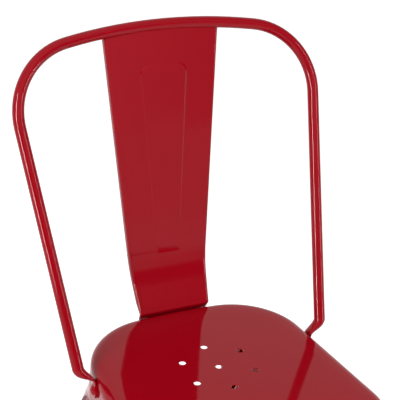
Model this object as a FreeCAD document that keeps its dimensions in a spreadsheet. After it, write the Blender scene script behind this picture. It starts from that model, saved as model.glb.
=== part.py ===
import FreeCAD, Part
import math
import os

import Sketcher
from FreeCAD import Placement, Rotation, Vector

# A stacking bistro chair of pressed sheet and bent tube.
# Frame: +Z up, +X to the right of a viewer in front of the chair, the chair faces -Y.
# The origin lies on the floor, under the middle of the chair's outline.
# The seat has a frame of its own: its origin is the top of the centre drain hole,
# its Z axis is square to the seat, and it leans back with the seat.

DRIVING_SIZES = (
    ("seat_height", 446, "floor to the top of the centre drain hole"),
    ("seat_setback", -9, "Y of the centre drain hole"),
    ("seat_tilt", 3, "degrees that the seat drops towards the back"),
    ("sheet", 1.5, "thickness of the pressed sheet"),
    ("fit_gap", 0.3, "clearance between pieces that are not clamped"),
    ("seat_half_width", 165.8, "seat outline's half width beside the centre hole"),
    ("seat_flare", 5.8, "degrees that each seat side opens towards the front"),
    ("seat_back", 159.9, "seat outline behind the centre hole"),
    ("seat_front", 196, "seat outline in front of the centre hole"),
    ("seat_back_radius", 727, "bow of the seat's back edge"),
    ("seat_front_radius", 900, "bow of the seat's front edge"),
    ("seat_back_corner", 106.5, "seat's back corner radius"),
    ("seat_front_corner", 60, "seat's front corner radius"),
    ("pan_lap", 14, "flat part of the swept rim, which laps the pan"),
    ("roll_radius", 17, "roll of the seat's edge"),
    ("rim_width", 25, "sloping rim between the flat pan and the seat outline"),
    ("rim_slope", 4.1, "degrees that the rim falls outwards"),
    ("rim_blend", 140, "radius between the flat pan and the sloping rim"),
    ("skirt_depth", 36, "seat top to the lower edge of the seat's skirt"),
    ("seam_depth", 18.5, "seat top to the seam between the roll and the legs"),
    ("drain_circle", 50, "radius of the drain hole circle"),
    ("drain_hole", 10, "drain hole diameter"),
    ("collar_depth", 62, "seat top to the lower edge of the aprons"),
    ("collar_half_width", 168.6, "leg shell's half width at the aprons' lower edge"),
    ("collar_back", 164.5, "leg shell behind the centre hole there"),
    ("collar_front", 199.5, "leg shell in front of the centre hole there"),
    ("foot_half_width", 215, "leg shell's half width at the feet"),
    ("foot_flare", 0.45, "degrees that the feet stand wider at the front"),
    ("foot_back", 213, "leg shell at the rear feet"),
    ("foot_front", 264.1, "leg shell at the front feet"),
    ("foot_bow_radius", 9000, "bow of the leg shell at the feet"),
    ("foot_corner", 16, "leg's corner radius at the feet"),
    ("foot_height", 12, "height of the rubber feet below the legs"),
    ("foot_play", 0.1, "play between the rubber feet and the legs' lower edges"),
    ("foot_plug", 14, "height of the feet's plugs inside the legs"),
    ("foot_width", 38, "width of each foot"),
    ("opening_reach", 20, "how far below the seat height the openings' lower ends are measured"),
    ("arch_radius", 60, "corners of the openings between the legs"),
    ("side_arch_front", 125, "front end of the side openings at the aprons"),
    ("side_arch_rear", 108, "rear end of the side openings at the aprons"),
    ("side_foot_front", 183, "front end of the side openings at the floor"),
    ("side_foot_rear", 211, "rear end of the side openings at the floor"),
    ("front_arch_half", 122, "half width of the front opening at the apron"),
    ("front_foot_half", 180, "half width of the front opening at the floor"),
    ("rear_arch_half", 75, "half width of the rear opening at the apron"),
    ("rear_foot_half", 176, "half width of the rear opening at the floor"),
    ("tube", 16, "outer diameter of the back hoop's tube"),
    ("hoop_half_width", 183.2, "upright's centre line beside the seat"),
    ("hoop_upright_y", 48.7, "upright's centre line behind the centre hole"),
    ("hoop_spread", 0.111, "outward run of an upright for each mm of rise"),
    ("hoop_lean", 0.4515, "backward run of an upright for each mm of rise"),
    ("hoop_corner", 96.6, "bend radius of the hoop's corners"),
    ("rail_top_y", 243.0, "middle of the rail's centre line, behind the centre hole"),
    ("rail_top_z", 406.8, "middle of the rail's centre line, above the seat"),
    ("rail_drop", 22.6, "fall from the rail's middle to the hoop's virtual corners"),
    ("bend_height", 7, "seat top up to the start of the flattened end"),
    ("plate_width", 22, "width of the hoop's flattened ends"),
    ("plate_thickness", 3, "thickness of the hoop's flattened ends"),
    ("plate_top", -19, "upper end of the flat plate"),
    ("plate_end", -37, "lower end of the flat plate"),
    ("plate_y", 46.2, "plate's centre line at its upper end"),
    ("plate_lean", 0.45, "backward run of the plate for each mm of rise"),
    ("hoop_rivet_depth", 27, "hoop rivet below the seat top"),
    ("hoop_rivet_head", 16, "diameter of the hoop rivets' heads"),
    ("hoop_rivet_shank", 6, "diameter of the hoop rivets' shanks"),
    ("rivet_head_height", 4.3, "height of the rivets' domed heads"),
    ("side_wall_slope", 3.7, "degrees that the leg shell's sides open downwards"),
    ("rear_wall_slope", 6.1, "degrees that the leg shell's rear opens downwards"),
    ("foot_draft", 10, "degrees that the feet's plugs keep clear of the sloping legs"),
    ("splat_half_width", 54.5, "back panel's half width beside the seat top"),
    ("splat_taper", 0.0755, "widening of each half for each mm of rise"),
    ("splat_foot_z", -42, "lower edge of the back panel"),
    ("splat_foot_y", 163.4, "back panel's front face at its lower edge"),
    ("splat_seam_y", 161.5, "back panel's front face behind the seat's roll"),
    ("splat_seam_z", -14, "height of the foot's bend"),
    ("splat_low_y", 151.9, "back panel's front face at the lower bend"),
    ("splat_low_z", 2.5, "height of the back panel's lower bend"),
    ("splat_high_y", 181.4, "back panel's front face at the upper bend"),
    ("splat_high_z", 59.2, "height of the back panel's upper bend"),
    ("splat_top_y", 235.8, "back panel's front face below the rail"),
    ("splat_top_z", 400.6, "top of the back panel's upper edge"),
    ("splat_low_bend", 3, "radius of the lower bends"),
    ("splat_high_bend", 150, "radius of the upper bend"),
    ("splat_depth", 10, "depth of the back panel's folded sides"),
    ("splat_fold", 4, "outer radius of the folds"),
    ("splat_fold_end", 34, "height at which the folded sides come to a point"),
    ("splat_top_arc", 650, "bow of the back panel's top edge"),
    ("panel_low_z", 76, "lower edge of the raised panel"),
    ("panel_low_half", 16, "raised panel's half width at its lower edge"),
    ("panel_high_z", 352, "upper edge of the raised panel"),
    ("panel_high_half", 33, "raised panel's half width at its upper edge"),
    ("panel_corner", 10, "radius of the raised panel's upper corners"),
    ("panel_rise", 1.8, "height of the raised panel at its upper edge"),
    ("panel_draft", 60, "degrees that the raised panel's walls slope"),
    ("splat_rivet_x", 20, "back panel's rivets beside the middle"),
    ("splat_rivet_depth", 27, "back panel's rivets below the seat top"),
    ("rivet_tail", 9.6, "diameter of the rivets' formed tails"),
    ("rivet_tail_height", 1.8, "height of the rivets' formed tails"),
    ("hoop_rivet_grip", 8.2, "plates held by each hoop rivet"),
    ("splat_rivet_grip", 8.6, "plates held by each back panel rivet"),
    ("weld_radius", 2.4, "radius of the weld beads"),
    ("weld_length", 26, "length of each weld bead"),
    ("weld_spacing", 52, "distance between the weld beads"),
    ("brace_width", 20, "width of the crossed braces under the seat"),
    ("brace_thickness", 3, "thickness of the crossed braces"),
    ("brace_depth", 74, "seat top to the lower brace's underside"),
    ("brace_angle", 48, "degrees between each brace and the chair's X axis"),
)


DRAIN_HOLES_IN_RING = 6
FAR = 600  # farther than any part of the chair, for cuts that leave it
FRONT_FACE_BAND = 4.6  # how far a bend may lie from the back panel's straight faces
PROFILE_REACH = 10  # run past both ends of the back panel's profile
CORE_REACH = 5  # run of the back panel's hollow past its ends
NECK_SECTIONS = 8  # sections of the hoop's flattened necks
NECK_STEP = 0.4  # by how much the necks stand over and under the plates' faces
NECK_ROOT = 6  # run of the necks inside the plates
BORE_REACH = 10  # half the length of the bores through the plates


class Size:
    """A number together with the sheet expression that drives it."""

    def __init__(self, value, text):
        self.value = float(value)
        self.text = text

    def _joined(self, other, value, sign, swapped=False):
        first, second = (other, self) if swapped else (self, other)
        return Size(value, "(%s %s %s)" % (first.text, sign, second.text))

    def __add__(self, other):
        other = as_size(other)
        return self._joined(other, self.value + other.value, "+")

    __radd__ = __add__

    def __sub__(self, other):
        other = as_size(other)
        return self._joined(other, self.value - other.value, "-")

    def __rsub__(self, other):
        return as_size(other) - self

    def __mul__(self, other):
        other = as_size(other)
        return self._joined(other, self.value * other.value, "*")

    __rmul__ = __mul__

    def __truediv__(self, other):
        other = as_size(other)
        return self._joined(other, self.value / other.value, "/")

    def __rtruediv__(self, other):
        return as_size(other) / self

    def __neg__(self):
        return as_size(0) - self


def as_size(number):
    """A plain number as a size that no cell drives."""
    if isinstance(number, Size):
        return number
    return Size(number, "%.9g" % number)


def sine(angle):
    return Size(math.sin(math.radians(angle.value)), "sin(%s)" % angle.text)


def cosine(angle):
    return Size(math.cos(math.radians(angle.value)), "cos(%s)" % angle.text)


def tangent(angle):
    return Size(math.tan(math.radians(angle.value)), "tan(%s)" % angle.text)


doc = FreeCAD.newDocument("bistro_chair")
sheet_of_sizes = doc.addObject("Spreadsheet::Sheet", "Sizes")
size = {}
for row, (alias, number, meaning) in enumerate(DRIVING_SIZES, 1):
    sheet_of_sizes.set("A%d" % row, meaning)
    sheet_of_sizes.set("B%d" % row, str(number))
    sheet_of_sizes.setAlias("B%d" % row, alias)
    size[alias] = Size(number, "Sizes.%s" % alias)
doc.recompute()


def bind(thing, prop, value):
    """Set a property and keep it driven by the sheet."""
    value = as_size(value)
    thing.setExpression(prop, value.text)


def origin_feature(body, role):
    return next(f for f in body.Origin.OriginFeatures if f.Role == role)


def new_body(name):
    body = doc.addObject("PartDesign::Body", name)
    body.Label = name
    return body


def sketch_on(body, name, plane, offset=(0, 0, 0), axis=None, angle=0):
    """A sketch on one of the body's own planes, moved and turned by sheet values."""
    sketch = body.newObject("Sketcher::SketchObject", name)
    sketch.AttachmentSupport = (origin_feature(body, plane), [""])
    sketch.MapMode = "FlatFace"
    offset = [as_size(v) for v in offset]
    turn = as_size(angle)
    axis = axis or Vector(0, 0, 1)
    sketch.AttachmentOffset = Placement(Vector(*[v.value for v in offset]), Rotation(axis, turn.value))
    for letter, value in zip("xyz", offset):
        if value.text.startswith("(") or value.text.startswith("Sizes"):
            sketch.setExpression("AttachmentOffset.Base.%s" % letter, value.text)
    if turn.value:
        sketch.setExpression("AttachmentOffset.Rotation.Angle", turn.text)
    return sketch


def constrain(sketch, *args):
    """Add one constraint; a size as its last value is bound to the sheet."""
    value = args[-1]
    if isinstance(value, Size):
        index = sketch.addConstraint(Sketcher.Constraint(*args[:-1], value.value))
        sketch.setExpression("Constraints[%d]" % index, value.text)
        return index
    return sketch.addConstraint(Sketcher.Constraint(*args))


class Outline:
    """A rounded four-sided outline, symmetric about the Y axis, wider at the front."""

    def __init__(self, half_width, flare, back, front, back_radius, front_radius, back_corner, front_corner):
        self.side = half_width * cosine(flare)
        self.flare = flare
        self.back_centre = back - back_radius
        self.front_centre = front_radius - front
        self.back_radius = back_radius
        self.front_radius = front_radius
        self.back_corner = back_corner
        self.front_corner = front_corner

    def corner_centre(self, side, arc_centre, arc_radius, corner, forward):
        """Centre of a corner arc that touches the right side and one end arc from inside."""
        flare = math.radians(self.flare.value)
        normal = (math.cos(flare), math.sin(flare))
        along = (-normal[1], normal[0])
        foot = (side - corner)
        base = (normal[0] * foot, normal[1] * foot - arc_centre)
        dot = base[0] * along[0] + base[1] * along[1]
        free = dot * dot - (base[0] ** 2 + base[1] ** 2 - (arc_radius - corner) ** 2)
        step = -dot + (-1 if forward else 1) * math.sqrt(free)
        return normal[0] * foot + along[0] * step, normal[1] * foot + along[1] * step

    def draw(self, sketch, inset=0, split=False):
        """Draw the outline, moved inwards by the inset, as eight tangent edges.

        As a path to sweep along it starts and ends behind the middle, so its back edge is split there."""
        inset = as_size(inset)
        side = self.side - inset
        radii = {
            "back": self.back_radius - inset,
            "front": self.front_radius - inset,
            "back_corner": self.back_corner - inset,
            "front_corner": self.front_corner - inset,
        }
        flare = math.radians(self.flare.value)
        back_y = self.back_centre.value
        front_y = self.front_centre.value
        bx, by = self.corner_centre(side.value, back_y, radii["back"].value, radii["back_corner"].value, False)
        fx, fy = self.corner_centre(side.value, front_y, radii["front"].value, radii["front_corner"].value, True)
        back_end = math.atan2(by - back_y, bx)
        front_end = math.atan2(fy - front_y, fx)
        half = math.pi / 2

        def arc(cx, cy, radius, start, end):
            circle = Part.Circle(Vector(cx, cy, 0), Vector(0, 0, 1), radius.value)
            return Part.ArcOfCircle(circle, start, end)

        def side_point(cx, cy, radius, sign):
            x = cx + math.cos(flare) * radius.value
            return Vector(sign * x, cy + math.sin(flare) * radius.value, 0)

        back_corner = radii["back_corner"]
        front_corner = radii["front_corner"]
        edges = [
            arc(0, back_y, radii["back"], back_end, math.pi - back_end),
            arc(-bx, by, back_corner, math.pi - back_end, math.pi - flare),
            Part.LineSegment(side_point(bx, by, back_corner, -1), side_point(fx, fy, front_corner, -1)),
            arc(-fx, fy, front_corner, math.pi - flare, math.pi - front_end),
            arc(0, front_y, radii["front"], math.pi - front_end, 2 * math.pi + front_end),
            arc(fx, fy, front_corner, front_end, flare),
            Part.LineSegment(side_point(fx, fy, front_corner, 1), side_point(bx, by, back_corner, 1)),
            arc(bx, by, back_corner, flare, back_end),
        ]
        if split:
            edges[0] = arc(0, back_y, radii["back"], half, math.pi - back_end)
            edges.append(arc(0, back_y, radii["back"], back_end, half))
        for edge in edges:
            sketch.addGeometry(edge, False)
        for here in range(8 if split else 7):
            constrain(sketch, "Tangent", here, 2, here + 1, 1)
        if split:
            constrain(sketch, "Coincident", 8, 2, 0, 1)
            constrain(sketch, "Coincident", 8, 3, 0, 3)
            constrain(sketch, "PointOnObject", 0, 1, -2)
        else:
            constrain(sketch, "Tangent", 7, 2, 0, 1)
        for here, name in ((0, "back"), (7, "back_corner"), (5, "front_corner"), (4, "front")):
            constrain(sketch, "Radius", here, radii[name])
        constrain(sketch, "Equal", 1, 7)
        constrain(sketch, "Equal", 3, 5)
        constrain(sketch, "PointOnObject", 0, 3, -2)
        constrain(sketch, "PointOnObject", 4, 3, -2)
        constrain(sketch, "DistanceY", -1, 1, 0, 3, self.back_centre)
        constrain(sketch, "DistanceY", -1, 1, 4, 3, self.front_centre)
        constrain(sketch, "Distance", -1, 1, 6, side)
        constrain(sketch, "Angle", 6, 90 + self.flare)
        constrain(sketch, "Symmetric", 2, 1, 6, 2, -2)


seat_outline = Outline(
    size["seat_half_width"],
    size["seat_flare"],
    size["seat_back"],
    size["seat_front"],
    size["seat_back_radius"],
    size["seat_front_radius"],
    size["seat_back_corner"],
    size["seat_front_corner"],
)


def pad(body, sketch, length, name, reverse=False, midplane=False):
    feature = body.newObject("PartDesign::Pad", name)
    feature.Profile = sketch
    bind(feature, "Length", length)
    feature.Reversed = reverse
    feature.Midplane = midplane
    return feature


def pocket(body, sketch, length, name, reverse=False, midplane=False):
    feature = body.newObject("PartDesign::Pocket", name)
    feature.Profile = sketch
    bind(feature, "Length", length)
    feature.Reversed = reverse
    feature.Midplane = midplane
    return feature


def edges_where(shape, test):
    """Names of the edges whose two ends and middle all pass a test."""
    names = []
    for number, edge in enumerate(shape.Edges, 1):
        middle = edge.valueAt(0.5 * (edge.FirstParameter + edge.LastParameter))
        points = [vertex.Point for vertex in edge.Vertexes] + [middle]
        if all(test(point) for point in points):
            names.append("Edge%d" % number)
    return names


def fillet(body, base, names, radius, name):
    feature = body.newObject("PartDesign::Fillet", name)
    feature.Base = (base, names)
    bind(feature, "Radius", radius)
    return feature


def cut_with(body, tool):
    """Take the tool body away from a body."""
    cut = body.newObject("PartDesign::Boolean", body.Name + "_hollow")
    cut.Type = "Cut"
    cut.addObjects([tool])
    doc.recompute()
    return cut


def shape_with_corners(sketch, corners):
    """A closed outline through corners (x, y, radius); a radius of None keeps a corner sharp."""
    places = [(as_size(x), as_size(y), radius) for x, y, radius in corners]
    spots = [Vector(x.value, y.value, 0) for x, y, radius in places]
    count = len(spots)
    trims = []
    for here in range(count):
        radius = places[here][2]
        before = (spots[here - 1] - spots[here]).normalize()
        after = (spots[(here + 1) % count] - spots[here]).normalize()
        if radius is None:
            trims.append(None)
            continue
        half_angle = before.getAngle(after) / 2
        reach = as_size(radius).value / math.tan(half_angle)
        start = spots[here] + before * reach
        end = spots[here] + after * reach
        to_centre = (before + after).normalize()
        centre = spots[here] + to_centre * (as_size(radius).value / math.sin(half_angle))
        middle = centre - to_centre * as_size(radius).value
        trims.append((start, middle, end))
    lines = []
    for here in range(count):
        nxt = (here + 1) % count
        start = trims[here][2] if trims[here] else spots[here]
        end = trims[nxt][0] if trims[nxt] else spots[nxt]
        lines.append(sketch.addGeometry(Part.LineSegment(start, end), False))
    for here, (x, y, radius) in enumerate(places):
        line_in = lines[here - 1]
        line_out = lines[here]
        if radius is None:
            constrain(sketch, "Coincident", line_in, 2, line_out, 1)
            place_point(sketch, line_out, 1, x, y)
            continue
        arc = Part.Arc(*trims[here])
        turned = arc_runs_backwards(trims[here])
        bend = sketch.addGeometry(arc, False)
        first, last = (2, 1) if turned else (1, 2)
        constrain(sketch, "Tangent", line_in, 2, bend, first)
        constrain(sketch, "Tangent", bend, last, line_out, 1)
        constrain(sketch, "Radius", bend, as_size(radius))
        point = sketch.addGeometry(Part.Point(spots[here]), True)
        constrain(sketch, "PointOnObject", point, 1, line_in)
        constrain(sketch, "PointOnObject", point, 1, line_out)
        place_point(sketch, point, 1, x, y)


def arc_runs_backwards(points):
    """Sketch arcs run anticlockwise, so a clockwise arc starts at its last point."""
    start, middle, end = points
    return (middle - start).cross(end - middle).z < 0


def place_point(sketch, item, end, x, y):
    constrain(sketch, "DistanceX", -1, 1, item, end, x)
    constrain(sketch, "DistanceY", -1, 1, item, end, y)


def pocket_through(body, name, plane, corners, one_side=None):
    """Cut an outline through the body: both ways, or only along or against the plane's normal."""
    sketch = sketch_on(body, name + "_outline", plane)
    shape_with_corners(sketch, corners)
    if one_side is None:
        return pocket(body, sketch, 2 * FAR, name, midplane=True)
    return pocket(body, sketch, FAR, name, reverse=one_side)


foot_outline = Outline(
    size["foot_half_width"],
    size["foot_flare"],
    size["foot_back"],
    size["foot_front"],
    size["foot_bow_radius"],
    size["foot_bow_radius"],
    size["foot_corner"],
    size["foot_corner"],
)
collar_outline = Outline(
    size["collar_half_width"],
    size["seat_flare"],
    size["collar_back"],
    size["collar_front"],
    size["seat_back_radius"],
    size["seat_front_radius"],
    size["seat_back_corner"],
    size["seat_front_corner"],
)


def seat_placement():
    return Placement(Vector(0, size["seat_setback"].value, size["seat_height"].value),
                     Rotation(Vector(1, 0, 0), -size["seat_tilt"].value))


def place_with_seat(thing):
    """Put a piece that is drawn in the seat's frame into the chair's frame."""
    thing.Placement = seat_placement()
    if hasattr(thing, "Tip"):
        bind(thing, "Placement.Base.y", size["seat_setback"])
        bind(thing, "Placement.Base.z", size["seat_height"])


def add_shell_loft(body, kind, inset):
    """Add or take away the tapering form inside the legs, moved inwards by the inset, in the seat's frame."""
    tilt = size["seat_tilt"]
    fall = size["foot_height"] - size["seat_height"]
    foot_y = -size["seat_setback"] * cosine(tilt) - fall * sine(tilt)
    foot_z = -size["seat_setback"] * sine(tilt) + fall * cosine(tilt)
    name = "%s_%s" % (body.Name, kind.lower())
    top = sketch_on(body, name + "_top", "XY_Plane", (0, 0, -size["seam_depth"] - size["fit_gap"]))
    seat_outline.draw(top, inset)
    collar = sketch_on(body, name + "_collar", "XY_Plane", (0, 0, -size["collar_depth"]))
    collar_outline.draw(collar, inset)
    foot = sketch_on(body, name + "_foot", "XY_Plane", (0, foot_y, foot_z), Vector(1, 0, 0), tilt)
    foot_outline.draw(foot, inset)
    loft = body.newObject("PartDesign::%sLoft" % kind, name)
    loft.Profile = top
    loft.Sections = [collar, foot]
    loft.Ruled = True


def add_leg_shell(body):
    """The tapering shell that all legs and aprons are parts of."""
    add_shell_loft(body, "Additive", 0)
    add_shell_loft(body, "Subtractive", size["sheet"])
    doc.recompute()


def cut_openings(body):
    low = -size["seat_height"] - size["opening_reach"]
    high = -size["collar_depth"]
    bend = size["arch_radius"]
    pocket_through(body, body.Name + "_side_opening", "YZ_Plane", (
        (-size["side_foot_front"], low, None),
        (-size["side_arch_front"], high, bend),
        (size["side_arch_rear"], high, bend),
        (size["side_foot_rear"], low, None)))
    for end, toward_front in (("front", True), ("rear", False)):
        foot = size[end + "_foot_half"]
        arch = size[end + "_arch_half"]
        pocket_through(body, "%s_%s_opening" % (body.Name, end), "XZ_Plane", (
            (-foot, low, None),
            (-arch, high, bend),
            (arch, high, bend),
            (foot, low, None)), toward_front)


def build_leg(name, x_sign, y_sign):
    body = new_body(name)
    add_leg_shell(body)
    cut_openings(body)
    end_seam = size["front_arch_half"] if y_sign < 0 else size["rear_arch_half"]
    side_seam = size["side_arch_front"] if y_sign < 0 else size["side_arch_rear"]
    x_seam = x_sign * end_seam
    y_seam = y_sign * side_seam
    x_far = x_sign * FAR
    y_far = y_sign * FAR
    pocket_through(body, name + "_rest", "XY_Plane", (
        (x_seam, y_far, None),
        (x_seam, y_seam, None),
        (x_far, y_seam, None),
        (x_far, -y_far, None),
        (-x_far, -y_far, None),
        (-x_far, y_far, None)))
    place_with_seat(body)
    return body


def build_side_apron(name, x_sign):
    body = new_body(name)
    add_leg_shell(body)
    cut_openings(body)
    front = -size["side_arch_front"] + size["fit_gap"]
    rear = size["side_arch_rear"] - size["fit_gap"]
    x_far = x_sign * FAR
    pocket_through(body, name + "_rest", "XY_Plane", (
        (0, front, None),
        (x_far, front, None),
        (x_far, -FAR, None),
        (-x_far, -FAR, None),
        (-x_far, FAR, None),
        (x_far, FAR, None),
        (x_far, rear, None),
        (0, rear, None)))
    frame = hoop_rivet_frame()
    if x_sign < 0:
        frame = mirrored_frame(frame)
    drill(body, name + "_rivet_hole", frame, False)
    place_with_seat(body)
    return body


def build_end_apron(name, y_sign, half):
    body = new_body(name)
    add_leg_shell(body)
    cut_openings(body)
    edge = half - size["fit_gap"]
    y_far = y_sign * FAR
    pocket_through(body, name + "_rest", "XY_Plane", (
        (edge, 0, None),
        (edge, y_far, None),
        (FAR, y_far, None),
        (FAR, -y_far, None),
        (-FAR, -y_far, None),
        (-FAR, y_far, None),
        (-edge, y_far, None),
        (-edge, 0, None)))
    if y_sign > 0:
        drill(body, name + "_rivet_hole", splat_rivet_frame())
    place_with_seat(body)
    return body


def build_foot(name, x_sign, y_sign):
    """A rubber foot below a leg, with a plug inside the leg's corner."""
    body = new_body(name)
    sole = sketch_on(body, name + "_sole", "XY_Plane")
    foot_outline.draw(sole, -2 * size["fit_gap"])
    pad(body, sole, size["foot_height"] - size["foot_play"], name + "_pad")
    rise = size["foot_plug"] * tangent(size["foot_draft"]) + size["fit_gap"]
    plug = sketch_on(body, name + "_plug", "XY_Plane", (0, 0, size["foot_height"] - size["foot_play"]))
    foot_outline.draw(plug, size["sheet"] + rise)
    pad(body, plug, size["foot_plug"], name + "_plug_pad")
    y_end = size["foot_front"] if y_sign < 0 else size["foot_back"]
    x_seam = x_sign * (size["foot_half_width"] - size["foot_width"])
    y_seam = y_sign * (y_end - size["foot_width"])
    x_far = x_sign * FAR
    y_far = y_sign * FAR
    pocket_through(body, name + "_rest", "XY_Plane", (
        (x_seam, y_far, None),
        (x_seam, y_seam, None),
        (x_far, y_seam, None),
        (x_far, -y_far, None),
        (-x_far, -y_far, None),
        (-x_far, y_far, None)))
    return body


def hoop_path(half):
    """Corner points of the hoop's centre line on one side, in the seat's frame."""
    spread = size["hoop_spread"].value
    lean = size["hoop_lean"].value

    def on_upright(z):
        return Vector(half * (size["hoop_half_width"].value + spread * z), size["hoop_upright_y"].value + lean * z, z)
    return on_upright


def rail_tangent_points():
    """Where the right corner bend starts and ends, and the middle of the rail."""
    apex = Vector(0, size["rail_top_y"].value, size["rail_top_z"].value)
    on_upright = hoop_path(1)
    corner = on_upright(size["rail_top_z"].value - size["rail_drop"].value)
    up = (on_upright(1) - on_upright(0)).normalize()
    radius = size["hoop_corner"].value
    low, high = 0.0, corner.x
    for step in range(60):
        reach = 0.5 * (low + high)
        toward = apex + Vector(reach, 0, 0) - corner
        run = toward.Length
        toward.normalize()
        trim = radius * math.tan(up.getAngle(toward) / 2)
        if run > trim + reach:
            low = reach
        else:
            high = reach
    start = corner - up * trim
    end = corner + toward * trim
    centre = start + (toward - up * toward.dot(up)).normalize() * radius
    middle = centre + (corner - centre).normalize() * radius
    return start, middle, end, apex


def mirrored(point):
    return Vector(-point.x, point.y, point.z)


def ellipse_wire(centre, along, wide, half_wide, half_thin):
    """An ellipse square to a direction, with its long axis along another."""
    along = along.normalize()
    wide = (wide - along * wide.dot(along)).normalize()
    if half_wide > half_thin:
        edge = Part.Ellipse(Vector(0, 0, 0), half_wide, half_thin).toShape()
    else:
        edge = Part.Circle(Vector(0, 0, 0), Vector(0, 0, 1), half_thin).toShape()
    third = along.cross(wide)
    frame = FreeCAD.Matrix(wide.x, third.x, along.x, centre.x,
                           wide.y, third.y, along.y, centre.y,
                           wide.z, third.z, along.z, centre.z,
                           0, 0, 0, 1)
    edge = edge.transformShape(frame)
    return Part.Wire([edge] if edge.ShapeType == "Edge" else edge.Edges)


def plate_frame():
    """Origin at the top middle of the right plate, its direction down, its width and its outer face."""
    flare = math.radians(size["seat_flare"].value)
    slope = math.radians(size["side_wall_slope"].value)
    out = Vector(math.cos(flare) * math.cos(slope), math.sin(flare) * math.cos(slope), math.sin(slope))
    down = Vector(0, -size["plate_lean"].value, -1)
    down = (down - out * down.dot(out)).normalize()
    wide = out.cross(down).normalize()
    seam = size["seam_depth"].value
    y_top = size["plate_y"].value
    z_top = size["plate_top"].value
    base = Vector(size["seat_half_width"].value, 0, -seam)
    clearance = size["fit_gap"].value + size["plate_thickness"].value / 2
    offset = (base.dot(out) + clearance - y_top * out.y - z_top * out.z) / out.x
    return Vector(offset, y_top, z_top), down, wide, out


def smooth_bend(start, start_way, end, end_way, share):
    """Point and direction on a smooth bend that leaves one line and joins another."""
    pull = (end - start).Length
    first, last = start_way * pull, end_way * pull
    square, cube = share * share, share * share * share
    point = (start * (2 * cube - 3 * square + 1) + first * (cube - 2 * square + share)
             + end * (3 * square - 2 * cube) + last * (cube - square))
    way = (start * (6 * square - 6 * share) + first * (3 * square - 4 * share + 1)
           + end * (6 * share - 6 * square) + last * (3 * square - 2 * share))
    return point, way.normalize()


def build_hoop():
    start, middle, end, apex = rail_tangent_points()
    on_upright = hoop_path(1)
    foot = on_upright(size["bend_height"].value)
    edges = [
        Part.LineSegment(mirrored(foot), mirrored(start)).toShape(),
        Part.Arc(mirrored(start), mirrored(middle), mirrored(end)).toShape(),
        Part.Arc(mirrored(end), apex, end).toShape(),
        Part.Arc(end, middle, start).toShape(),
        Part.LineSegment(start, foot).toShape(),
    ]
    path = Part.Wire(edges)
    up = (start - foot).normalize()
    radius = size["tube"].value / 2
    ring = Part.Wire([Part.Circle(mirrored(foot), mirrored(up), radius).toShape()])
    tube = path.makePipeShell([ring], True, False)
    plate_top, down, wide, out = plate_frame()
    width = size["plate_width"].value / 2
    thin = size["plate_thickness"].value / 2
    length = (size["plate_top"] - size["plate_end"]).value / -down.z - width
    sections = [Part.Wire([Part.Circle(foot, up, radius).toShape()])]
    for step in range(1, NECK_SECTIONS):
        share = step / (NECK_SECTIONS - 1)
        blend = share * share * (3 - 2 * share)
        centre, along = smooth_bend(foot, -up, plate_top, down, share)
        half_wide = radius * (1 - blend) + (width - NECK_STEP / 2) * blend
        half_thin = radius * (1 - blend) + (thin + NECK_STEP) * blend
        sections.append(ellipse_wire(centre + out * (NECK_STEP * blend), along, wide, half_wide, half_thin))
    root = plate_top + down * NECK_ROOT
    sections.append(ellipse_wire(root, down, wide, width - 2.5 * NECK_STEP, thin - NECK_STEP))
    neck = Part.makeLoft(sections, True, False)
    flat = Part.makeBox(2 * width, length, 2 * thin, Vector(-width, 0, -thin))
    flat = flat.fuse(Part.makeCylinder(width, 2 * thin, Vector(0, length, -thin)))
    frame = FreeCAD.Matrix(wide.x, down.x, out.x, plate_top.x,
                           wide.y, down.y, out.y, plate_top.y,
                           wide.z, down.z, out.z, plate_top.z,
                           0, 0, 0, 1)
    flat = flat.transformShape(frame)
    shape = tube
    for piece in (neck, flat):
        shape = shape.fuse(piece).fuse(piece.mirror(Vector(0, 0, 0), Vector(1, 0, 0)))
    frame = hoop_rivet_frame()
    bore_radius = size["hoop_rivet_shank"].value / 2 + size["fit_gap"].value
    bore = Part.makeCylinder(bore_radius, 2 * BORE_REACH, Vector(0, 0, -BORE_REACH))
    seat_radius = size["hoop_rivet_head"].value / 2 + size["fit_gap"].value
    bore = bore.fuse(Part.makeCylinder(seat_radius, BORE_REACH))
    for place in (frame, mirrored_frame(frame)):
        drilled = bore.copy()
        drilled.Placement = place
        shape = shape.cut(drilled)
    hoop = doc.addObject("Part::Feature", "back_hoop")
    hoop.Label = "back_hoop"
    hoop.Shape = shape
    place_with_seat(hoop)
    return hoop


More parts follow.
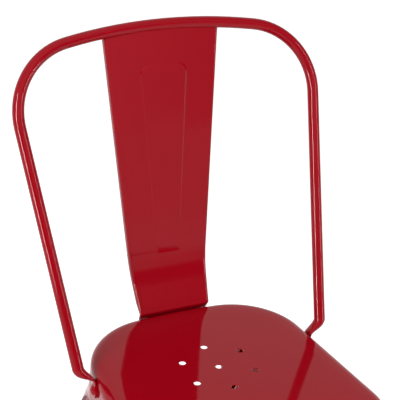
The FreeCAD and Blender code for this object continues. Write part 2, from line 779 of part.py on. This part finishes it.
def add_splat_form(body, inset):
    back = size["splat_depth"] + (size["splat_depth"] if inset.text != "0" else 0)
    past = CORE_REACH if inset.text != "0" else 0
    front = sketch_on(body, body.Name + "_profile", "YZ_Plane")
    rise = size["splat_top_z"] - size["splat_high_z"]
    run = size["splat_top_y"] - size["splat_high_y"]
    top_z = size["splat_top_z"] + past
    top_y = size["splat_top_y"] + inset + past * run / rise
    shape_with_corners(front, (
        (size["splat_foot_y"] + inset, size["splat_foot_z"] - past, None),
        (size["splat_seam_y"] + inset, size["splat_seam_z"], size["splat_low_bend"]),
        (size["splat_low_y"] + inset, size["splat_low_z"], size["splat_low_bend"]),
        (size["splat_high_y"] + inset, size["splat_high_z"], size["splat_high_bend"]),
        (top_y, top_z, None),
        (top_y + back, top_z, None),
        (size["splat_high_y"] + back, size["splat_high_z"], size["splat_high_bend"]),
        (size["splat_low_y"] + back, size["splat_low_z"], size["splat_low_bend"]),
        (size["splat_foot_y"] + back, size["splat_foot_z"] - past, None)))
    pad(body, front, 2 * FAR, body.Name + "_block", midplane=True)
    low = -FAR
    for side, sign in (("right", 1), ("left", -1)):
        half_at_zero = sign * (size["splat_half_width"] - inset)
        pocket_through(body, "%s_%s_taper" % (body.Name, side), "XZ_Plane", (
            (half_at_zero - sign * size["splat_taper"] * FAR, low, None),
            (half_at_zero + sign * size["splat_taper"] * FAR, FAR, None),
            (sign * 3 * FAR, FAR, None),
            (sign * 3 * FAR, low, None)))
    doc.recompute()
    folds = fold_edges(body.Shape, inset.value)
    fold_radius = size["splat_fold"] - inset
    fillet(body, body.Tip, folds, fold_radius, body.Name + "_folds")
    lean = math.degrees(math.atan2(run.value, rise.value))
    toward = math.degrees(math.atan2(size["panel_rise"].value,
                                     (size["panel_high_z"] - size["panel_low_z"]).value))
    base_y = (size["splat_high_y"] + inset).value - (size["splat_high_z"].value - size["panel_low_z"].value) * (
        math.tan(math.radians(lean)))
    angle = lean - toward
    scale = 1 / math.cos(math.radians(angle))
    panel = sketch_on(body, body.Name + "_panel_outline", "XZ_Plane",
                      (0, size["panel_low_z"], -base_y), Vector(1, 0, 0), -angle)
    trim = inset * tangent((90 - size["panel_draft"]) / 2)
    height = (size["panel_high_z"] - size["panel_low_z"]) * scale - trim
    low_half = size["panel_low_half"] - trim
    high_half = size["panel_high_half"] - trim
    shape_with_corners(panel, (
        (-low_half, 0, None),
        (low_half, 0, None),
        (high_half, height, size["panel_corner"] - trim),
        (-high_half, height, size["panel_corner"] - trim)))
    raised = pad(body, panel, size["panel_rise"] + size["sheet"], body.Name + "_panel", reverse=True)
    bind(raised, "TaperAngle", size["panel_draft"])
    doc.recompute()


def fold_edges(shape, inset):
    """Names of the side edges that run along the back panel's front face."""
    stations = [(size["splat_%s_z" % n].value, size["splat_%s_y" % n].value) for n in (
        "foot", "seam", "low", "high", "top")]
    z0, y0 = stations[0]
    z1, y1 = stations[1]
    stations.insert(0, (z0 - PROFILE_REACH, y0 + (y0 - y1) * PROFILE_REACH / (z1 - z0)))
    z0, y0 = stations[-2]
    z1, y1 = stations[-1]
    stations.append((z1 + PROFILE_REACH, y1 + (y1 - y0) * PROFILE_REACH / (z1 - z0)))

    def near_front(point):
        for (z0, y0), (z1, y1) in zip(stations, stations[1:]):
            if z0 <= point.z <= z1:
                front = y0 + (y1 - y0) * (point.z - z0) / (z1 - z0)
                return abs(point.y - inset - front) < FRONT_FACE_BAND
        return False

    names = []
    for name in edges_where(shape, near_front):
        edge = shape.getElement(name)
        ends = [vertex.Point for vertex in edge.Vertexes]
        if abs(ends[0].z - ends[1].z) > 1 and ends[0].x * ends[1].x > 0:
            names.append(name)
    return names


def frame_of(origin, axis):
    """A placement whose Z axis is a rivet's axis, with the origin under the rivet's head."""
    return Placement(origin, Rotation(Vector(0, 0, 1), axis))


def mirrored_frame(frame):
    return frame_of(mirrored(frame.Base), mirrored(frame.Rotation.multVec(Vector(0, 0, 1))))


def hoop_rivet_frame():
    top, down, wide, out = plate_frame()
    along = (-size["hoop_rivet_depth"].value - top.z) / down.z
    return frame_of(top + down * along + out * (size["plate_thickness"].value / 2), out)


def splat_rivet_frame():
    slope = math.radians(size["rear_wall_slope"].value)
    out = Vector(0, math.cos(slope), math.sin(slope))
    z = -size["splat_rivet_depth"].value
    share = (z - size["splat_foot_z"].value) / (size["splat_seam_z"] - size["splat_foot_z"]).value
    front = size["splat_foot_y"].value + share * (size["splat_seam_y"] - size["splat_foot_y"]).value
    back = front + size["sheet"].value + size["fit_gap"].value / 2
    return frame_of(Vector(size["splat_rivet_x"].value, back, z), out)


def drill(body, name, frame, both_sides=True):
    """A hole for a rivet's shank along the rivet's own axis, and its mirror image."""
    sketch = sketch_on(body, name + "_circle", "XY_Plane")
    sketch.AttachmentOffset = frame
    circle = sketch.addGeometry(Part.Circle(Vector(0, 0, 0), Vector(0, 0, 1), 1), False)
    constrain(sketch, "Coincident", circle, 3, -1, 1)
    constrain(sketch, "Radius", circle, size["hoop_rivet_shank"] / 2 + size["fit_gap"])
    hole = pocket(body, sketch, 3 * size["hoop_rivet_grip"], name, midplane=True)
    if both_sides:
        doc.recompute()
        other = body.newObject("PartDesign::Mirrored", name + "_mirrored")
        other.Originals = [hole]
        other.MirrorPlane = (origin_feature(body, "YZ_Plane"), [""])
        body.Tip = other
    doc.recompute()


def build_rivets(name, frame, grip, pair=True):
    """One rivet, or two that mirror each other: domed head, shank and formed tail."""
    body = new_body(name)
    body.AllowCompound = True
    sketch = sketch_on(body, name + "_profile", "XY_Plane")
    axis = frame.Rotation.multVec(Vector(0, 0, 1))
    across = frame.Rotation.multVec(Vector(1, 0, 0))
    sketch.AttachmentOffset = Placement(frame.Base, Rotation(across, axis, across.cross(axis), "XYZ"))
    head = size["hoop_rivet_head"] / 2
    shank = size["hoop_rivet_shank"] / 2
    tail = size["rivet_tail"] / 2
    rise = size["rivet_head_height"]
    end = -grip - size["rivet_tail_height"]
    corners = [(0, rise), (0, end), (tail, end), (tail, -grip), (shank, -grip), (shank, 0), (head, 0)]
    points = [Vector(as_size(x).value, as_size(y).value, 0) for x, y in corners]
    for first, second in zip(points, points[1:]):
        sketch.addGeometry(Part.LineSegment(first, second), False)
    dome_radius = (head.value ** 2 + rise.value ** 2) / (2 * rise.value)
    centre = Vector(0, rise.value - dome_radius, 0)
    start = math.atan2(-centre.y, head.value)
    dome = sketch.addGeometry(
        Part.ArcOfCircle(Part.Circle(centre, Vector(0, 0, 1), dome_radius), start, math.pi / 2), False)
    for here in range(5):
        constrain(sketch, "Coincident", here, 2, here + 1, 1)
    constrain(sketch, "Coincident", 5, 2, dome, 1)
    constrain(sketch, "Coincident", dome, 2, 0, 1)
    constrain(sketch, "PointOnObject", dome, 3, -2)
    for here, (x, y) in enumerate(corners):
        item, end_point = (here, 1) if here < 6 else (5, 2)
        if isinstance(x, Size):
            constrain(sketch, "DistanceX", -1, 1, item, end_point, x)
        else:
            constrain(sketch, "PointOnObject", item, end_point, -2)
        if isinstance(y, Size):
            constrain(sketch, "DistanceY", -1, 1, item, end_point, y)
        else:
            constrain(sketch, "PointOnObject", item, end_point, -1)
    turned = body.newObject("PartDesign::Revolution", name + "_turned")
    turned.Profile = sketch
    turned.ReferenceAxis = (sketch, ["V_Axis"])
    turned.Angle = 360
    doc.recompute()
    if pair:
        other = body.newObject("PartDesign::Mirrored", name + "_mirrored")
        other.Originals = [turned]
        other.MirrorPlane = (origin_feature(body, "YZ_Plane"), [""])
        body.Tip = other
        doc.recompute()
    place_with_seat(body)
    return body


def build_back_splat():
    body = new_body("back_splat")
    add_splat_form(body, as_size(0))
    core = new_body("back_splat_core")
    add_splat_form(core, size["sheet"])
    cut_with(body, core)
    clear = size["sheet"] + size["fit_gap"]
    spread = size["splat_depth"]
    fold_end_y = size["splat_high_y"] + 2 * spread
    pocket_through(body, "fold_ends", "YZ_Plane", (
        (size["splat_foot_y"] + clear, size["splat_foot_z"] - spread, None),
        (size["splat_foot_y"] + clear, size["splat_foot_z"], None),
        (size["splat_seam_y"] + clear, size["splat_seam_z"], None),
        (size["splat_low_y"] + clear + size["sheet"], size["splat_low_z"], None),
        (fold_end_y, size["splat_fold_end"] + spread, None),
        (fold_end_y, size["splat_foot_z"] - spread, None)))
    sketch = sketch_on(body, "top_arc_outline", "XZ_Plane")
    centre = size["splat_top_z"] - size["splat_top_arc"]
    for radius in (size["splat_top_arc"], size["splat_top_arc"] + spread):
        circle = sketch.addGeometry(
            Part.Circle(Vector(0, centre.value, 0), Vector(0, 0, 1), radius.value), False)
        constrain(sketch, "Radius", circle, radius)
        constrain(sketch, "PointOnObject", circle, 3, -2)
        constrain(sketch, "DistanceY", -1, 1, circle, 3, centre)
    pocket(body, sketch, 2 * FAR, "top_arc", midplane=True)
    drill(body, "splat_rivet_hole", splat_rivet_frame())
    place_with_seat(body)
    return body


def build_welds(name):
    """Short beads under the rail, behind the back panel's top edge."""
    body = new_body(name)
    body.AllowCompound = True
    start, middle, end, apex = rail_tangent_points()
    rail = Part.Arc(mirrored(end), apex, end)
    radius = size["weld_radius"].value
    reach = size["tube"].value / 2 + radius + 2 * size["fit_gap"].value
    slope = (size["splat_top_y"] - size["splat_high_y"]) / (size["splat_top_z"] - size["splat_high_z"])
    for number in (-1, 0, 1):
        x = number * size["weld_spacing"].value
        beside = rail.intersect(Part.Plane(Vector(x, 0, 0), Vector(1, 0, 0)))[0][0]
        away = (size["sheet"] + size["fit_gap"]).value + radius
        z = beside.Z - reach
        for step in range(20):
            y = size["splat_top_y"].value + (z - size["splat_top_z"].value) * slope.value + away
            z = beside.Z - math.sqrt(reach * reach - (beside.Y - y) ** 2)
        bead = sketch_on(body, "%s_%d" % (name, number + 2), "YZ_Plane", (0, 0, x))
        circle = bead.addGeometry(Part.Circle(Vector(y, z, 0), Vector(0, 0, 1), radius), False)
        constrain(bead, "Radius", circle, size["weld_radius"])
        pad(body, bead, size["weld_length"], "%s_bead_%d" % (name, number + 2), midplane=True)
        doc.recompute()
    place_with_seat(body)
    return body


def build_brace(name, sign, level):
    """A flat strip between two opposite legs, cut to the inside of the leg shell."""
    body = new_body(name)
    add_shell_loft(body, "Additive", size["sheet"] + size["fit_gap"])
    half = size["brace_width"] / 2
    low = -size["brace_depth"] + level * size["brace_thickness"]
    high = low + size["brace_thickness"]
    for part, offset, upward in (("above", high, False), ("below", low, True)):
        slab = sketch_on(body, "%s_%s_outline" % (name, part), "XY_Plane", (0, 0, offset))
        shape_with_corners(slab, (
            (-FAR, -FAR, None),
            (FAR, -FAR, None),
            (FAR, FAR, None),
            (-FAR, FAR, None)))
        pocket(body, slab, FAR, "%s_%s" % (name, part), reverse=not upward)
    for part, way in (("near", -1), ("far", 1)):
        turn = size["brace_angle"] if sign > 0 else 180 - size["brace_angle"]
        side = sketch_on(body, "%s_%s_outline" % (name, part), "XY_Plane", (0, 0, 0), Vector(0, 0, 1), turn)
        shape_with_corners(side, (
            (-FAR, way * half, None),
            (FAR, way * half, None),
            (FAR, way * FAR, None),
            (-FAR, way * FAR, None)))
        pocket(body, side, 2 * FAR, "%s_%s" % (name, part), midplane=True)
    doc.recompute()
    drill(body, name + "_rivet_hole", Placement(Vector(0, 0, low.value), Rotation()), False)
    place_with_seat(body)
    return body


def build_seat_pan():
    """A flat pan with a sloping rim, a rolled edge and an inset skirt, swept around the outline."""
    body = new_body("seat_pan")
    sheet = size["sheet"]
    path = sketch_on(body, "rim_path", "XY_Plane")
    seat_outline.draw(path, 0, True)
    slope = size["rim_slope"]
    rise = tangent(slope)
    wall = size["seat_back"]
    seam = size["seam_depth"]
    skirt = wall - sheet - size["fit_gap"]
    pan_edge = wall - size["rim_width"] - size["pan_lap"]
    fold = wall - size["rim_width"]
    under = sheet / cosine(slope)
    section = sketch_on(body, "rim_section", "YZ_Plane")
    shape_with_corners(section, (
        (pan_edge, 0, None),
        (fold, 0, size["rim_blend"]),
        (wall, -size["rim_width"] * rise, size["roll_radius"]),
        (wall, -seam, None),
        (skirt, -seam, None),
        (skirt, -size["skirt_depth"], None),
        (skirt - sheet, -size["skirt_depth"], None),
        (skirt - sheet, sheet - seam, None),
        (wall - sheet, sheet - seam, None),
        (wall - sheet, (sheet - size["rim_width"]) * rise - under, size["roll_radius"] - sheet),
        (fold - (under - sheet) / rise, -sheet, size["rim_blend"] - sheet),
        (pan_edge, -sheet, None)))
    rim = body.newObject("PartDesign::AdditivePipe", "rim")
    rim.Profile = section
    rim.Spine = (path, ["Edge%d" % (number + 1) for number in range(9)])
    doc.recompute()
    pan = sketch_on(body, "pan_outline", "XY_Plane")
    seat_outline.draw(pan, size["rim_width"] + size["pan_lap"] / 2)
    pad(body, pan, sheet, "pan", reverse=True)
    doc.recompute()

    hole = sketch_on(body, "outer_drain_hole", "XY_Plane")
    circle = hole.addGeometry(Part.Circle(Vector(0, size["drain_circle"].value, 0), Vector(0, 0, 1), 1), False)
    constrain(hole, "Radius", circle, size["drain_hole"] / 2)
    constrain(hole, "PointOnObject", circle, 3, -2)
    constrain(hole, "DistanceY", -1, 1, circle, 3, size["drain_circle"])
    drain = pocket(body, hole, size["skirt_depth"], "drain_hole")
    ring = body.newObject("PartDesign::PolarPattern", "drain_ring")
    ring.Originals = [drain]
    ring.Axis = (origin_feature(body, "Z_Axis"), [""])
    ring.Angle = 360
    ring.Occurrences = DRAIN_HOLES_IN_RING
    body.Tip = ring
    middle = sketch_on(body, "middle_drain_hole", "XY_Plane")
    circle = middle.addGeometry(Part.Circle(Vector(0, 0, 0), Vector(0, 0, 1), 1), False)
    constrain(middle, "Coincident", circle, 3, -1, 1)
    constrain(middle, "Radius", circle, size["drain_hole"] / 2)
    pocket(body, middle, size["skirt_depth"], "middle_drain")
    doc.recompute()
    drill(body, "hoop_rivet_hole", hoop_rivet_frame())
    drill(body, "splat_rivet_hole", splat_rivet_frame())
    place_with_seat(body)
    return body


pieces = [build_seat_pan()]
for side, x_sign in (("right", -1), ("left", 1)):
    pieces.append(build_leg("front_%s_leg" % side, x_sign, -1))
    pieces.append(build_leg("rear_%s_leg" % side, x_sign, 1))
    pieces.append(build_side_apron("%s_apron" % side, x_sign))
    pieces.append(build_foot("front_%s_foot" % side, x_sign, -1))
    pieces.append(build_foot("rear_%s_foot" % side, x_sign, 1))
pieces.append(build_end_apron("front_apron", -1, size["front_arch_half"]))
pieces.append(build_end_apron("rear_apron", 1, size["rear_arch_half"]))
hoop = build_hoop()
splat = build_back_splat()
pieces.extend((hoop, splat))
pieces.append(build_rivets("hoop_rivets", hoop_rivet_frame(), size["hoop_rivet_grip"]))
pieces.append(build_rivets("splat_rivets", splat_rivet_frame(), size["splat_rivet_grip"]))
pieces.append(build_welds("back_splat_welds"))
pieces.append(build_brace("lower_seat_brace", 1, 0))
pieces.append(build_brace("upper_seat_brace", -1, 1))
brace_top = 2 * size["brace_thickness"] - size["brace_depth"]
pieces.append(build_rivets("brace_rivet", frame_of(Vector(0, 0, brace_top.value), Vector(0, 0, 1)),
                           2 * size["brace_thickness"], False))
doc.recompute()
os.makedirs("parts", exist_ok=True)
for thing in doc.Objects:
    if "Invalid" in thing.State or "Error" in thing.State:
        raise RuntimeError("%s did not build" % thing.Name)
for piece in pieces:
    if piece.Shape.isNull() or not piece.Shape.isValid():
        raise RuntimeError("%s has no sound shape" % piece.Label)
    piece.Shape.exportStep("parts/%s.step" % piece.Label)
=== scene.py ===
import math

import bpy
from mathutils import Matrix, Vector


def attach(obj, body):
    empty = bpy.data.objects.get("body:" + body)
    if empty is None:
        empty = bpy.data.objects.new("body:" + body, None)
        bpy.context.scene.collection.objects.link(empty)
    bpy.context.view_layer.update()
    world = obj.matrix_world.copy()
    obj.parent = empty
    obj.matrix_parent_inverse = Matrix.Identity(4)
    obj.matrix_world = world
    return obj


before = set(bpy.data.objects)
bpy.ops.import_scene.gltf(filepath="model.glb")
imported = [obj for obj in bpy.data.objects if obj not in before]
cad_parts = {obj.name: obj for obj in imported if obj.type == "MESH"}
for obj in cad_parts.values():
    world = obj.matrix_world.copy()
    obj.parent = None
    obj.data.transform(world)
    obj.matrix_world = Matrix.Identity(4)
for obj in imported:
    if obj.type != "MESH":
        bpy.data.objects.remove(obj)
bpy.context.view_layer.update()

# The seat's own frame, whose origin is the top of the centre drain hole: degrees and metres.
SEAT_TILT = 3.0
SEAT_ORIGIN = Vector((0.0, -0.009, 0.446))

# Camera, solved on the seat: its place and angles are in the seat's frame, in metres and degrees.
CAMERA_PLACE = Vector((-0.6210, -1.2247, 0.9464))
CAMERA_YAW = 25.33
CAMERA_PITCH = 26.85
CAMERA_ROLL = -2.94
FOCAL_PIXELS = 1216.0
IMAGE_PIXELS = 400.0
SENSOR_MM = 36.0
CAMERA_REACH = 50.0

# Red lacquer: a faint cloud of colour, a gloss that varies a little and a very fine orange peel.
LACQUER_COLOURS = ((0.330, 0.0008, 0.0075), (0.370, 0.0012, 0.0095))
LACQUER_CLOUD_SCALE = 9.0
LACQUER_ROUGHNESS = (0.045, 0.075)
LACQUER_GLOSS_SCALE = 60.0
LACQUER_IOR = 1.27
PEEL_SCALE = 420.0
PEEL_DETAIL = 2.0
PEEL_DISTANCE = 0.0001
PEEL_STRENGTH = 0.05

# Black rubber of the feet.
RUBBER_COLOURS = ((0.018, 0.018, 0.018), (0.035, 0.034, 0.033))
RUBBER_CLOUD_SCALE = 40.0
RUBBER_ROUGHNESS = (0.55, 0.75)
RUBBER_GRAIN_SCALE = 700.0
RUBBER_GRAIN_DISTANCE = 0.0002
RUBBER_GRAIN_STRENGTH = 0.4

# Pale floor, which glows for the camera and for reflections only.
FLOOR_SIZE = 30.0
FLOOR_PLACE = (0.0, 6.0, 0.0)
FLOOR_COLOURS = ((0.80, 0.80, 0.80), (0.83, 0.83, 0.83))
FLOOR_CLOUD_SCALE = 3.0
FLOOR_ROUGHNESS = 0.9
FLOOR_GLOW = 0.60

# World: what the camera sees, what lights the chair, and the room that the lacquer reflects.
WORLD_SEEN = 1.0
WORLD_LIGHT = 0.42
# Height of the ray's direction and level there; the first two stops are the ramp's own ends.
ROOM_LEVELS = ((0.0, 1.0), (1.0, 1.0), (0.07, 1.0), (0.15, 0.12), (0.30, 0.12), (0.50, 0.9))
OWN_STOPS = 2
ROOM_DIM_AT = -0.1
ROOM_WHITE_AT = 0.4
RIGHT_LIGHT_AT = 0.30
RIGHT_DIM_AT = 0.46
RIGHT_DIM = 0.3

# Lamps: name, place, target, size in metres, power in watts, rays that do not meet it.
LAMPS = (
    ("key", (-2.3, -1.0, 2.0), (0.0, 0.0, 0.6), (0.8, 1.6), 40.0, "glossy"),
    ("fill", (2.2, -1.9, 1.8), (0.0, 0.0, 0.6), (0.8, 1.6), 30.0, "glossy"),
    ("top", (-0.4, -1.6, 2.9), (0.0, 0.0, 0.5), (0.8, 0.8), 8.0, "glossy"),
    ("left_strip", (-2.3, -1.0, 1.5), (0.0, 0.0, 0.6), (0.35, 2.2), 110.0, "diffuse"),
    ("right_strip", (2.2, -1.9, 1.5), (0.0, 0.0, 0.6), (0.35, 2.2), 40.0, "diffuse"),
)

# Weld seam under the rail: its radius in metres, the rest in millimetres of the seat's frame.
SEAM_NAME = "rail_weld_seam"
SEAM_RADIUS = 0.0009
SEAM_ROUNDING = 3
SEAM_POINTS = 41
SEAM_HALF = 83.0
RAIL_TOP = (0.0, 243.0, 406.8)
RAIL_END = (138.72, 233.81, 396.84)
PANEL_TOP = (236.5, 400.6)
PANEL_LEAN = 0.1594
PANEL_BOW = 650.0
TUBE_RADIUS = 8.0
MM_PER_METRE = 1000.0


def seat_to_world():
    return Matrix.Translation(SEAT_ORIGIN) @ Matrix.Rotation(-math.radians(SEAT_TILT), 4, "X")


def add_camera():
    yaw = math.radians(CAMERA_YAW)
    pitch = math.radians(CAMERA_PITCH)
    roll = math.radians(CAMERA_ROLL)
    forward = Vector((math.sin(yaw) * math.cos(pitch), math.cos(yaw) * math.cos(pitch), -math.sin(pitch)))
    right = Vector((math.cos(yaw), -math.sin(yaw), 0.0))
    down = forward.cross(right)
    turned_right = math.cos(roll) * right + math.sin(roll) * down
    turned_down = -math.sin(roll) * right + math.cos(roll) * down
    axes = Matrix((turned_right, -turned_down, -forward)).transposed().to_4x4()
    data = bpy.data.cameras.new("photo_camera")
    data.sensor_width = SENSOR_MM
    data.lens = FOCAL_PIXELS / IMAGE_PIXELS * SENSOR_MM
    data.clip_end = CAMERA_REACH
    camera = bpy.data.objects.new("photo_camera", data)
    bpy.context.scene.collection.objects.link(camera)
    camera.matrix_world = seat_to_world() @ Matrix.Translation(CAMERA_PLACE) @ axes
    bpy.context.scene.camera = camera


def new_material(name):
    material = bpy.data.materials.new(name)
    material.use_nodes = True
    nodes = material.node_tree.nodes
    nodes.clear()
    output = nodes.new("ShaderNodeOutputMaterial")
    shader = nodes.new("ShaderNodeBsdfPrincipled")
    material.node_tree.links.new(shader.outputs["BSDF"], output.inputs["Surface"])
    return material, nodes, material.node_tree.links, shader


def noise(nodes, links, scale, detail=3.0):
    place = nodes.new("ShaderNodeTexCoord")
    texture = nodes.new("ShaderNodeTexNoise")
    texture.inputs["Scale"].default_value = scale
    texture.inputs["Detail"].default_value = detail
    links.new(place.outputs["Object"], texture.inputs["Vector"])
    return texture.outputs["Fac"]


def ranged(nodes, links, value, to_range, from_range=(0.0, 1.0)):
    """Maps one range of a value on another and holds it there."""
    span = nodes.new("ShaderNodeMapRange")
    span.inputs["From Min"].default_value, span.inputs["From Max"].default_value = from_range
    span.inputs["To Min"].default_value, span.inputs["To Max"].default_value = to_range
    links.new(value, span.inputs["Value"])
    return span.outputs["Result"]


def combined(nodes, links, operation, first, second):
    joined = nodes.new("ShaderNodeMath")
    joined.operation = operation
    links.new(first, joined.inputs[0])
    links.new(second, joined.inputs[1])
    return joined.outputs[0]


def mixed_colour(nodes, links, factor, colours):
    mix = nodes.new("ShaderNodeMix")
    mix.data_type = "RGBA"
    mix.inputs["A"].default_value = (*colours[0], 1.0)
    mix.inputs["B"].default_value = (*colours[1], 1.0)
    links.new(factor, mix.inputs["Factor"])
    return mix.outputs["Result"]


def bump(nodes, links, shader, height, distance, strength):
    relief = nodes.new("ShaderNodeBump")
    relief.inputs["Distance"].default_value = distance
    relief.inputs["Strength"].default_value = strength
    links.new(height, relief.inputs["Height"])
    links.new(relief.outputs["Normal"], shader.inputs["Normal"])


def lacquer():
    material, nodes, links, shader = new_material("red_lacquer")
    cloud = noise(nodes, links, LACQUER_CLOUD_SCALE)
    links.new(mixed_colour(nodes, links, cloud, LACQUER_COLOURS), shader.inputs["Base Color"])
    gloss = noise(nodes, links, LACQUER_GLOSS_SCALE)
    links.new(ranged(nodes, links, gloss, LACQUER_ROUGHNESS), shader.inputs["Roughness"])
    shader.inputs["IOR"].default_value = LACQUER_IOR
    bump(nodes, links, shader, noise(nodes, links, PEEL_SCALE, PEEL_DETAIL), PEEL_DISTANCE, PEEL_STRENGTH)
    return material


def rubber():
    material, nodes, links, shader = new_material("foot_rubber_black")
    cloud = noise(nodes, links, RUBBER_CLOUD_SCALE)
    links.new(mixed_colour(nodes, links, cloud, RUBBER_COLOURS), shader.inputs["Base Color"])
    links.new(ranged(nodes, links, cloud, RUBBER_ROUGHNESS), shader.inputs["Roughness"])
    grain = noise(nodes, links, RUBBER_GRAIN_SCALE)
    bump(nodes, links, shader, grain, RUBBER_GRAIN_DISTANCE, RUBBER_GRAIN_STRENGTH)
    return material


def dress_nodes(red, black):
    for name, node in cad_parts.items():
        for slot in node.material_slots:
            slot.material = black if name.endswith("_foot") else red


def add_floor():
    bpy.ops.mesh.primitive_plane_add(size=FLOOR_SIZE, location=FLOOR_PLACE)
    floor = bpy.context.object
    floor.name = "floor"
    material, nodes, links, shader = new_material("pale_floor")
    cloud = noise(nodes, links, FLOOR_CLOUD_SCALE)
    links.new(mixed_colour(nodes, links, cloud, FLOOR_COLOURS), shader.inputs["Base Color"])
    shader.inputs["Roughness"].default_value = FLOOR_ROUGHNESS
    shader.inputs["Specular IOR Level"].default_value = 0.0
    path = nodes.new("ShaderNodeLightPath")
    seen = combined(nodes, links, "MAXIMUM", path.outputs["Is Camera Ray"], path.outputs["Is Glossy Ray"])
    glow = nodes.new("ShaderNodeEmission")
    links.new(ranged(nodes, links, seen, (0.0, FLOOR_GLOW)), glow.inputs["Strength"])
    both = nodes.new("ShaderNodeAddShader")
    links.new(shader.outputs["BSDF"], both.inputs[0])
    links.new(glow.outputs["Emission"], both.inputs[1])
    output = next(n for n in nodes if n.type == "OUTPUT_MATERIAL")
    links.new(both.outputs[0], output.inputs["Surface"])
    floor.data.materials.append(material)


def reflected_room(nodes, links):
    """White behind the chair; in front of it bands of light by height, dimmer towards the right."""
    place = nodes.new("ShaderNodeTexCoord")
    split = nodes.new("ShaderNodeSeparateXYZ")
    links.new(place.outputs["Generated"], split.inputs[0])
    bands = nodes.new("ShaderNodeValToRGB")
    stops = bands.color_ramp.elements
    for number, (height, level) in enumerate(ROOM_LEVELS):
        stop = stops[number] if number < OWN_STOPS else stops.new(height)
        stop.position = height
        stop.color = (level, level, level, 1.0)
    links.new(split.outputs["Z"], bands.inputs["Fac"])
    side = ranged(nodes, links, split.outputs["X"], (1.0, RIGHT_DIM), (RIGHT_LIGHT_AT, RIGHT_DIM_AT))
    front = combined(nodes, links, "MULTIPLY", bands.outputs["Color"], side)
    behind = ranged(nodes, links, split.outputs["Y"], (0.0, 1.0), (ROOM_DIM_AT, ROOM_WHITE_AT))
    return combined(nodes, links, "MAXIMUM", front, behind)


def add_world():
    """White where the camera looks, an even light on the chair, and a room of its own in reflections."""
    world = bpy.data.worlds.new("studio")
    bpy.context.scene.world = world
    world.use_nodes = True
    nodes = world.node_tree.nodes
    links = world.node_tree.links
    nodes.clear()
    output = nodes.new("ShaderNodeOutputWorld")
    background = nodes.new("ShaderNodeBackground")
    background.inputs["Color"].default_value = (1.0, 1.0, 1.0, 1.0)
    path = nodes.new("ShaderNodeLightPath")
    seen = combined(nodes, links, "MAXIMUM", path.outputs["Is Camera Ray"],
                    path.outputs["Is Transmission Ray"])
    mirror = nodes.new("ShaderNodeMix")
    mirror.inputs["A"].default_value = WORLD_LIGHT
    links.new(path.outputs["Is Glossy Ray"], mirror.inputs["Factor"])
    links.new(reflected_room(nodes, links), mirror.inputs["B"])
    whole = nodes.new("ShaderNodeMix")
    whole.inputs["B"].default_value = WORLD_SEEN
    links.new(seen, whole.inputs["Factor"])
    links.new(mirror.outputs["Result"], whole.inputs["A"])
    links.new(whole.outputs["Result"], background.inputs["Strength"])
    links.new(background.outputs["Background"], output.inputs["Surface"])


def add_lamp(name, place, target, size, power, unseen_by):
    data = bpy.data.lights.new(name, "AREA")
    data.shape = "RECTANGLE"
    data.size, data.size_y = size
    data.energy = power
    lamp = bpy.data.objects.new(name, data)
    bpy.context.scene.collection.objects.link(lamp)
    setattr(lamp, "visible_" + unseen_by, False)
    lamp.location = place
    lamp.rotation_euler = (Vector(target) - Vector(place)).to_track_quat("-Z", "Y").to_euler()


def seam_point(x):
    """Middle of the slit between the back panel's top edge and the rail, at a distance x from the centre."""
    share = (x / RAIL_END[0]) ** 2
    rail_y = RAIL_TOP[1] + (RAIL_END[1] - RAIL_TOP[1]) * share
    rail_z = RAIL_TOP[2] + (RAIL_END[2] - RAIL_TOP[2]) * share
    edge_z = PANEL_TOP[1] - x * x / (2 * PANEL_BOW)
    edge_y = PANEL_TOP[0] + (edge_z - PANEL_TOP[1]) * PANEL_LEAN
    way = Vector((0.0, rail_y - edge_y, rail_z - edge_z))
    gap = way.length - TUBE_RADIUS
    middle = Vector((x, edge_y, edge_z)) + way.normalized() * (gap / 2)
    return seat_to_world() @ (middle / MM_PER_METRE)


def add_seam(material):
    curve = bpy.data.curves.new(SEAM_NAME, "CURVE")
    curve.dimensions = "3D"
    curve.bevel_depth = SEAM_RADIUS
    curve.bevel_resolution = SEAM_ROUNDING
    spline = curve.splines.new("POLY")
    spline.points.add(SEAM_POINTS - 1)
    for number, point in enumerate(spline.points):
        x = SEAM_HALF * (2 * number / (SEAM_POINTS - 1) - 1)
        point.co = (*seam_point(x), 1.0)
    seam = bpy.data.objects.new(SEAM_NAME, curve)
    bpy.context.scene.collection.objects.link(seam)
    seam.data.materials.append(material)
    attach(seam, "root")


def main():
    red = lacquer()
    add_camera()
    dress_nodes(red, rubber())
    add_floor()
    add_world()
    for lamp in LAMPS:
        add_lamp(*lamp)
    add_seam(red)
    bpy.context.scene.view_settings.view_transform = "Standard"


main()
bpy.context.view_layer.update()
